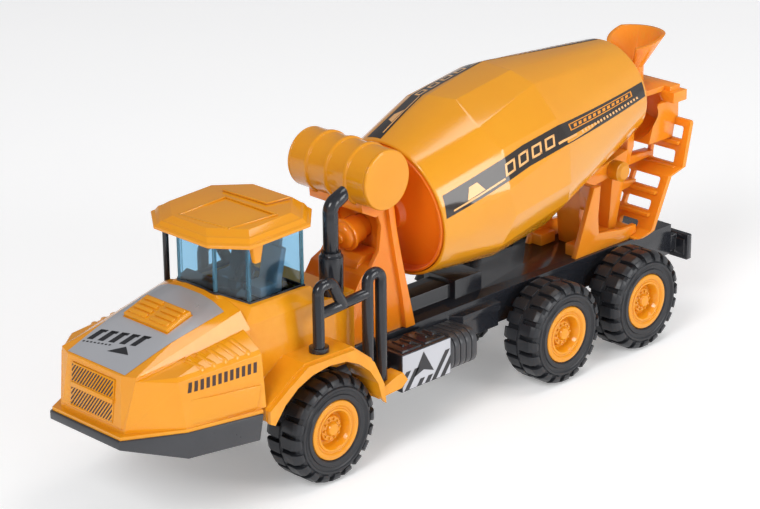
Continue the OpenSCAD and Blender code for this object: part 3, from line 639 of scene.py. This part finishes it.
# height of the corners' tops, inside the roof
CORNER_TOP = node_box("cab_roof")[0].z + 8.6
CORNER_RADIUS, CORNER_SIDES = 0.8, 16
for i, (x, y) in enumerate(WINDOW):
    ox, oy = outward_from_window(x, y)
    cx, cy = x - ox * 0.9, y - oy * 0.9
    base = top_height(x + ox * 0.6, y + oy * 0.6)
    n = CORNER_SIDES
    ring = [(cx + CORNER_RADIUS * math.cos(a), cy + CORNER_RADIUS * math.sin(a))
            for a in (math.tau * k / n for k in range(n))]
    verts = [(px, py, z) for z in (base - 0.4, CORNER_TOP) for px, py in ring]
    faces = [(k, (k + 1) % n, n + (k + 1) % n, n + k) for k in range(n)]
    faces += [tuple(range(n)), tuple(range(2 * n - 1, n - 1, -1))]
    solid(f"window_corner_{i}", verts, faces, CYAN, smooth=50.0)

# ---------- toolbox stickers ----------
BOX_LOW, BOX_HIGH = node_box("toolbox_left")
LONG, TALL = BOX_HIGH.y - BOX_LOW.y, 16.0
EDGE = 0.4


def on_box(side):
    """Places points on a toolbox's outer face: along it from its front, and up from its foot."""
    return lambda u, v, lift: mm(side * (BOX_HIGH.x + lift), BOX_LOW.y + u, BOX_LOW.z + v)


for side, word in SIDES:
    sheet = [rect(EDGE, LONG - EDGE, EDGE, TALL - EDGE)]
    laid("toolbox_sticker_" + word, sheet, on_box(side), WHITE, "truck", lift=0.06)
    # leaning stripes: where each starts and how high it goes
    stripes = []
    for u, top in ((-3.6, 8.4), (1.2, 8.4), (8.2, 3.2), (12.8, 3.2), (16.6, 11.2), (21.6, 11.2)):
        strip = rect(u, u + 2.7, EDGE, top, LEAN * (top - EDGE))
        strip = clip(strip, (EDGE, EDGE), (LONG - EDGE, top))
        if strip:
            stripes.append(strip)
    # arrowhead
    stripes.append([(12.2, 14.4), (6.4, 4.6), (12.2, 6.6)])
    stripes.append([(12.2, 14.4), (12.2, 6.6), (18.0, 4.6)])
    laid("toolbox_stripes_" + word, stripes, on_box(side), INK, "truck", lift=0.11)

# ---------- cab roof: stepped octagon with raised lines ----------
RIM = [(15.4, -115.0, 105.2), (28.4, -105.4, 105.4), (28.4, -74.8, 106.4), (17.0, -63.4, 106.8)]
RIM += [(-x, y, z) for x, y, z in reversed(RIM)]
# inset from the rim and height above it, from the inside of the lip up to the top plate
LAYERS = [
    (2.4, -1.0), (0.5, -1.75), (0.0, -1.6), (0.0, -0.5), (0.8, 0.0), (1.15, 0.05),
    (2.3, 1.75), (2.7, 1.85), (3.1, 2.0), (5.3, 3.55), (5.8, 3.9),
]
# share of the inset that the front and back take
END_INSET = 0.8
verts, faces = [], []
for inset, rise in LAYERS:
    for x, y, z in RIM:
        along = END_INSET if y < WINDOW_MIDDLE[1] else -END_INSET
        verts.append((x - math.copysign(inset, x), y + along * inset, z + rise))
n = len(RIM)
last = (len(LAYERS) - 1) * n
for k in range(0, last, n):
    faces += [(k + i, k + (i + 1) % n, k + n + (i + 1) % n, k + n + i) for i in range(n)]
faces += [tuple(range(n)), tuple(range(last, last + n))]
roof = solid("roof_skin", verts, faces, YELLOW, 0.18, 12.0, 2, 12.0)
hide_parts("cab_roof")


def roof_z(y):
    """Height of the top plate, which rises towards the back."""
    return 109.1 + (y + 105.7) * 0.0612


def roof_line(name, a, b, wide=0.9, high=0.4, sunk=0.3):
    """Raised line on the top plate between two plan points."""
    d = Vector((b[0] - a[0], b[1] - a[1])).normalized()
    nx, ny = -d.y * wide / 2, d.x * wide / 2
    a = (a[0] - d.x * wide / 2, a[1] - d.y * wide / 2)
    b = (b[0] + d.x * wide / 2, b[1] + d.y * wide / 2)
    foot = [(a[0] + nx, a[1] + ny), (b[0] + nx, b[1] + ny),
            (b[0] - nx, b[1] - ny), (a[0] - nx, a[1] - ny)]
    corners = [(x, y, roof_z(y) - sunk) for x, y in foot]
    corners += [(x, y, roof_z(y) + high) for x, y in foot]
    block(name, corners, YELLOW, 0.22)


PANEL = [(-8.5, -108.0), (-8.2, -84.8), (20.4, -84.8), (16.6, -105.2)]
for i in range(4):
    roof_line(f"roof_line_{i}", PANEL[i], PANEL[(i + 1) % 4])
roof_line("roof_line_4", (-14.0, -80.6), (9.4, -79.6))
roof_line("roof_line_5", (9.4, -79.6), (11.8, -70.2))
# tapered clip tab under each front corner
TAB = [
    (24.4, -103.2, 105.0), (27.0, -103.2, 105.0), (27.0, -97.0, 105.4), (24.4, -97.0, 105.4),
    (24.6, -101.4, 96.6), (26.6, -101.4, 96.6), (26.6, -98.6, 96.6), (24.6, -98.6, 96.6),
]
for side, word in SIDES:
    corners = [(x * side, y, z) for x, y, z in TAB]
    block("roof_tab_" + word, corners, YELLOW, 0.4, 3)


# ---------- lower side panels of the bonnet, standing proud ----------
def raised(name, outline, place, thick, fade, cell):
    """Panel laid on a surface; it grows out of it over the first fade millimetres."""
    bm = bmesh.new()
    bm.faces.new([bm.verts.new((u, v, 0.0)) for u, v in outline])
    cut_grid(bm, cell)
    points, faces, rims = flat_parts(bm)
    start = min(u for u, v in points)
    verts = [place(u, v, -0.3) / MM for u, v in points]
    for u, v in points:
        rise = -0.2 + (thick + 0.2) * min(1.0, (u - start) / fade)
        verts.append(place(u, v, rise) / MM)
    faces = two_skins(faces, rims, len(points))
    solid(name, verts, faces, YELLOW, 0.3, 40.0, 2, 25.0)


LOWER_PANEL = [(-142.6, 45.6), (-112.4, 45.6), (-109.8, 53.8), (-142.8, 55.8)]
for side, word in SIDES:
    raised("lower_panel_" + word, LOWER_PANEL, on_side(side), 0.7, 12.0, 3.0)

# ---------- ladder: one bent plate with rounded windows, treads, braces and foot ----------
# rear face in side view, from the foot up
LADDER_SIDE = [
    (131.0, 42.2), (139.4, 44.4), (141.4, 48.4), (150.2, 66.8), (159.8, 69.0), (164.5, 89.4),
]
# height of each window's middle, its half height, and how far it reaches from the middle
LADDER_WINDOWS = [
    (83.3, 2.9, 0.6, 16.8), (72.4, 2.9, 0.6, 14.6), (63.4, 2.5, 0.6, 16.0),
    (53.9, 2.2, 0.6, 15.0), (45.6, 1.5, 1.2, 11.6),
]
PLATE_THICKNESS = 2.2


def plate_y(z):
    """Where the plate's rear face lies at a height."""
    for (ya, za), (yb, zb) in zip(LADDER_SIDE, LADDER_SIDE[1:]):
        if z <= zb:
            return ya + (yb - ya) * (z - za) / (zb - za)
    return LADDER_SIDE[-1][0]


def rounded(x0, x1, z0, z1, r, n=4):
    """Rectangle with corners of radius r."""
    points = []
    corners = ((x1 - r, z1 - r, 0), (x0 + r, z1 - r, 90),
               (x0 + r, z0 + r, 180), (x1 - r, z0 + r, 270))
    for cx, cz, start in corners:
        for k in range(n + 1):
            a = math.radians(start + 90 * k / n)
            points.append((cx + r * math.cos(a), cz + r * math.sin(a)))
    return points


bm = bmesh.new()
loops = [rounded(-20.0, 20.0, 42.25, 89.35, 1.4)]
for z, h, x0, x1 in LADDER_WINDOWS:
    loops.append(rounded(x0 + 0.3, x1, z - h, z + h, 1.0))
    loops.append(rounded(-x1, -x0 - 0.3, z - h, z + h, 1.0))
for points in loops:
    ring = [bm.verts.new((x, z, 0.0)) for x, z in points]
    for a, b in zip(ring, ring[1:] + ring[:1]):
        bm.edges.new((a, b))
bmesh.ops.triangle_fill(bm, use_beauty=True, use_dissolve=False, edges=bm.edges[:])
for y, z in LADDER_SIDE[1:-1]:
    cut(bm, (0.0, z, 0.0), (0.0, 1.0, 0.0))
points, faces, rims = flat_parts(bm)
verts = [(x, plate_y(z), z) for x, z in points]
verts += [(x, plate_y(z) - PLATE_THICKNESS, z + 0.25) for x, z in points]
faces = two_skins(faces, rims, len(points))
# the ladder's plate and bars take the paler orange of painted light
plate = solid("ladder_plate", verts, faces, LIT_ORANGE, 0.3, 35.0, 2, 30.0)
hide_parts("ladder_frame")


def ladder_bar(name, reach, side_view, width=0.3):
    """Bar across the ladder whose side view is four (y, z) points."""
    corners = [(x, y, z) for x in (-reach, reach) for y, z in side_view]
    block(name, corners, LIT_ORANGE, width)


for i, (z, h, _, _) in enumerate(LADDER_WINDOWS[:4]):
    foot, back = z - h, plate_y(z - h)
    ladder_bar(f"ladder_tread_{i}", 16.6, [(back - 4.6, foot - 1.9), (back - 4.6, foot - 0.3),
                                           (back - 0.8, foot - 0.3), (back - 0.8, foot - 1.9)])
for i, (z, y0, y1) in enumerate(((61.2, 132.8, 147.0), (72.0, 136.5, 158.6))):
    ladder_bar(f"ladder_brace_{i}", 2.6, [(y0 - 0.6, z - 2.4), (y0 + 0.9, z + 2.4),
                                          (y1, z + 1.2), (y1, z - 1.2)])
ladder_bar("ladder_foot", 17.4, [(128.8, 42.0), (128.8, 42.9), (132.4, 42.9), (132.4, 42.0)], 0.15)

# ---------- wheels: tyres with separate tread blocks, hubs with a bolted middle ----------
# (radius, x) from the rim's inner edge over the side wall and tread to the inner side
TYRE = [
    (11.7, 33.6), (12.3, 34.0), (12.3, 35.9), (12.9, 36.6), (14.5, 36.8), (14.8, 36.3),
    (15.6, 36.2), (16.3, 36.5), (16.7, 36.95), (17.5, 36.95), (17.9, 36.3), (19.0, 35.9),
    (19.9, 34.6), (19.9, 28.6), (21.3, 28.4), (21.3, 27.1), (19.9, 26.9), (19.9, 20.9),
    (19.0, 19.6), (17.7, 18.6), (14.0, 18.9), (12.3, 20.1), (11.7, 20.9),
]
# (radius, x) from the inner end over the rim to the cap in the middle
HUB = [
    (0.0, 20.2), (5.0, 20.2), (5.0, 29.0), (11.7, 29.0), (12.25, 33.8), (12.3, 35.6),
    (12.0, 36.2), (11.5, 36.4), (10.3, 36.4), (9.9, 36.1), (9.6, 35.6), (9.0, 35.6),
    (8.7, 36.0), (8.0, 36.0), (7.6, 35.5), (7.1, 32.4), (6.6, 31.8), (5.6, 31.8),
    (5.3, 32.4), (5.2, 33.3), (4.9, 33.6), (3.0, 33.8), (2.7, 34.6), (2.3, 35.2),
    (1.2, 35.5), (0.0, 35.5),
]
# x, radius and half width along a tread block, from the tread's middle to the side wall
TREAD_BLOCK = [
    (28.3, 19.2, 2.5), (28.3, 22.0, 2.5), (33.9, 22.0, 2.4), (35.9, 21.1, 2.2),
    (36.8, 19.4, 1.9), (36.8, 18.2, 1.4), (35.0, 17.8, 1.4),
]
# the two rows of tread blocks mirror each other about half this x
TREAD_SPAN = 55.5
BLOCKS_IN_ROW, BOLTS = 20, 10


def round_axle(x, r, a):
    return x * MM, r * math.cos(a) * MM, r * math.sin(a) * MM


def turned(bm, profile, n=96):
    """Ring of quads round the wheel's axle from (radius, x) points."""
    rows = []
    for k in range(n):
        a = math.tau * k / n
        rows.append([bm.verts.new(round_axle(x, r, a)) for r, x in profile])
    for k in range(n):
        p, q = rows[k], rows[(k + 1) % n]
        for i in range(len(profile) - 1):
            if profile[i][0] > 0.0 or profile[i + 1][0] > 0.0:
                bm.faces.new((p[i], p[i + 1], q[i + 1], q[i]))


def tread_block(bm, angle, inner):
    """One tread block with rounded edges, in the outer or the inner row."""
    front, back = [], []
    for x, r, w in TREAD_BLOCK:
        if inner:
            x = TREAD_SPAN - x
        front.append(bm.verts.new(round_axle(x, r, angle - w / r)))
        back.append(bm.verts.new(round_axle(x, r, angle + w / r)))
    k = len(TREAD_BLOCK)
    made = [bm.faces.new(front), bm.faces.new(back)]
    for i in range(k):
        j = (i + 1) % k
        made.append(bm.faces.new((front[i], front[j], back[j], back[i])))
    bmesh.ops.recalc_face_normals(bm, faces=made)
    edges = {e for f in made for e in f.edges if e.calc_face_angle(0.0) > math.radians(20)}
    bmesh.ops.bevel(bm, geom=list(edges), offset=0.32 * MM, segments=2, profile=0.6,
                    affect="EDGES", clamp_overlap=True)


tyre = bmesh.new()
turned(tyre, TYRE)
for i in range(BLOCKS_IN_ROW):
    tread_block(tyre, math.tau * i / BLOCKS_IN_ROW, False)
    tread_block(tyre, math.tau * (i + 0.5) / BLOCKS_IN_ROW, True)
hub = bmesh.new()
turned(hub, HUB)
for i in range(BOLTS):
    turn = Matrix.Rotation(math.tau * i / BOLTS, 4, "X")
    turn = turn @ Matrix.Translation(mm(33.9, 3.95, 0.0)) @ Matrix.Rotation(math.pi / 2, 4, "Y")
    bmesh.ops.create_cone(hub, cap_ends=True, segments=12, radius1=0.6 * MM, radius2=0.45 * MM,
                          depth=1.1 * MM, matrix=turn)
for axle in ("front", "middle", "rear"):
    low, high = node_box(f"tyre_{axle}_left")
    where = Matrix.Translation(mm(0.0, (low.y + high.y) / 2, (low.z + high.z) / 2))
    for side, word in SIDES:
        for kind, shape, material in (("tyre", tyre, RUBBER), ("hub", hub, YELLOW)):
            node = f"{kind}_{axle}_{word}"
            bm = shape.copy()
            place = where @ Matrix.Diagonal((side, 1.0, 1.0, 1.0))
            bmesh.ops.transform(bm, matrix=place, verts=bm.verts)
            bmesh.ops.remove_doubles(bm, verts=bm.verts, dist=1e-7)
            bmesh.ops.recalc_face_normals(bm, faces=bm.faces)
            mesh = bpy.data.meshes.new(node + "_moulded")
            bm.to_mesh(mesh)
            bm.free()
            shade(mesh, 32.0)
            wheel = new_object(node + "_moulded", mesh, material, BODY_OF[node])
            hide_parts(node)

# ---------- drum: four lengthwise sticker bands ----------
DRUM_JOINT = frame["record"]["behaviour"]["joints"][0]
AXIS = Vector(DRUM_JOINT["axis"]).normalized()
UP = Vector((0.0, -AXIS.z, AXIS.y))
DRUM_SURFACE = surface_of(PARTS["drum_shell"])
# where the axis meets the front rim, 60 mm ahead of the joint's point
FRONT = Vector(DRUM_JOINT["pos_m"]) - AXIS * 60.0 * MM
# by distance behind the front rim: the band's middle line in degrees round the drum from +X,
# the drum's radius, and the band's half width
CENTRE = [(0.0, 13.5), (30.0, 18.6), (45.0, 20.5), (67.0, 20.5), (134.0, 11.6)]
GIRTH = [(0.0, 29.8), (31.0, 36.4), (70.0, 36.8), (134.0, 22.6)]
WIDE = [(0.0, 4.7), (67.0, 4.5), (134.0, 3.3)]


def on_drum(turn):
    """Places points on the drum, for the band that is turned by so many degrees.

    u is the distance behind the front rim, and v the way round the drum from the band's middle
    line, as a share of its half width.
    """
    def place(u, v, lift):
        phi = math.radians(turn + between(u, CENTRE)) + v * between(u, WIDE) / between(u, GIRTH)
        out = Vector((math.cos(phi), 0.0, 0.0)) + UP * math.sin(phi)
        start = FRONT + AXIS * u * MM + out * BESIDE * MM
        return strike(DRUM_SURFACE, start, -out, lift)
    return place


def on_band(name, outlines, place, material, cell):
    laid(name, outlines, place, material, "drum", cell=cell, lift=0.16)


BAND_OUTLINE = [(1.2, -1.0), (132.4, -1.0), (132.4, 1.0), (2.4, 1.0)]
for k in range(4):
    place = on_drum(90.0 * k)
    laid(f"drum_band_{k}", [BAND_OUTLINE], place, BAND, "drum",
         cell=0.8)
    # front half: a long line, an arrowhead and open leaning boxes
    pale = [rect(5.0, 31.0, -0.74, -0.58),
            [(12.0, -0.5), (21.0, -0.5), (18.6, 0.45), (14.6, 0.45)],
            rect(63.5, 76.0, -0.62, -0.40)]
    for i in range(4):
        u = i * 8.0
        pale += cross_lines(31.5 + u, 37.4 + u, -0.55, 0.5, 0.2, 1.6)
        pale.append(rect(31.5 + u, 32.6 + u, -0.55, 0.5, 1.6))
        pale.append(rect(36.3 + u, 37.4 + u, -0.55, 0.5, 1.6))
    on_band(f"drum_marks_{k}", pale, place, PALE, 1.5)
    # rear half: a long box with bars in it over a row of dashes
    gold = [rect(73.5, 122.0, 0.62, 0.72), rect(73.5, 122.0, 0.02, 0.12),
            rect(73.0, 74.0, 0.02, 0.72), rect(121.4, 122.4, 0.02, 0.72)]
    gold += [rect(76.0 + i * 3.7, 78.2 + i * 3.7, 0.22, 0.52, 0.5) for i in range(12)]
    on_band(f"drum_bars_{k}", gold, place, GOLD, 1.5)
    dashes = [rect(80.0 + i * 2.5, 81.3 + i * 2.5, -0.66, -0.36, -0.4) for i in range(19)]
    on_band(f"drum_dashes_{k}", dashes, place, PALE, None)


# ---------- floor, light, camera ----------
def make_floor(reach=6.0):
    """A plain floor that glows a little, so that it reads as white paper."""
    mesh = bpy.data.meshes.new("floor")
    corners = [(-reach, -reach, 0), (reach, -reach, 0), (reach, reach, 0), (-reach, reach, 0)]
    mesh.from_pydata(corners, [], [(0, 1, 2, 3)])
    floor = bpy.data.objects.new("floor", mesh)
    bpy.context.scene.collection.objects.link(floor)
    m, nt, p = tree("pale_floor")
    cloud = remap(nt, noise(nt, 3.0), 0.0, 1.0)
    link(nt, mix(nt, cloud, (0.93, 0.93, 0.93), (0.95, 0.95, 0.95)), p.inputs["Base Color"])
    p.inputs["Roughness"].default_value = 0.6
    p.inputs["Emission Color"].default_value = (1.0, 1.0, 1.0, 1.0)
    p.inputs["Emission Strength"].default_value = 0.25
    mesh.materials.append(m)


def make_world():
    """White walls low down and on the truck's left, a darker ceiling and far wall."""
    world = bpy.data.worlds.new("studio")
    bpy.context.scene.world = world
    world.use_nodes = True
    nt = world.node_tree
    coord = nt.nodes.new("ShaderNodeTexCoord")
    split = nt.nodes.new("ShaderNodeSeparateXYZ")
    link(nt, coord.outputs["Generated"], split.inputs[0])
    across = remap(nt, split.outputs["X"], 0.0, 1.0, -0.45, 0.35)
    wall = mix(nt, across, (0.30, 0.30, 0.31), (1.0, 1.0, 1.0))
    height = remap(nt, split.outputs["Z"], 0.0, 1.0, 0.25, 0.80)
    sky = mix(nt, height, wall, (0.42, 0.42, 0.43))
    link(nt, sky, nt.nodes["Background"].inputs["Color"])
    nt.nodes["Background"].inputs["Strength"].default_value = 0.80


# name, place, aim, size in metres, power in watts
LIGHTS = [
    ("key", (0.45, -1.30, 1.15), (0.0, 0.0, 0.06), 0.6, 12.5),
    ("side", (1.5, 0.55, 0.50), (0.0, 0.0, 0.08), 0.7, 9.0),
    ("top", (0.25, 0.45, 1.5), (0.0, 0.0, 0.0), 0.6, 4.5),
]


def make_lights():
    for name, where, aim, size, watts in LIGHTS:
        data = bpy.data.lights.new(name, "AREA")
        data.shape = "SQUARE"
        data.size = size
        data.energy = watts
        obj = bpy.data.objects.new(name, data)
        obj.location = where
        obj.rotation_mode = "QUATERNION"
        obj.rotation_quaternion = (Vector(aim) - Vector(where)).to_track_quat("-Z", "Y")
        bpy.context.scene.collection.objects.link(obj)


def make_camera():
    """The photograph's view: seen from the front left and above, nearly level."""
    azimuth, elevation, roll = math.radians(45.5), math.radians(20.74), math.radians(-0.56)
    target, distance = Vector((0.0, -0.0105, 0.0687)), 1.050
    back = Vector((math.sin(azimuth) * math.cos(elevation),
                   -math.cos(azimuth) * math.cos(elevation), math.sin(elevation)))
    data = bpy.data.cameras.new("camera")
    data.lens = 123.04
    data.sensor_width = 36.0
    cam = bpy.data.objects.new("camera", data)
    cam.location = target + back * distance
    cam.rotation_mode = "QUATERNION"
    level = (-back).to_track_quat("-Z", "Y")
    cam.rotation_quaternion = level @ Matrix.Rotation(roll, 4, "Z").to_quaternion()
    bpy.context.scene.collection.objects.link(cam)
    bpy.context.scene.camera = cam
    bpy.context.scene.view_settings.view_transform = "Standard"


make_floor()
make_world()
make_lights()
make_camera()
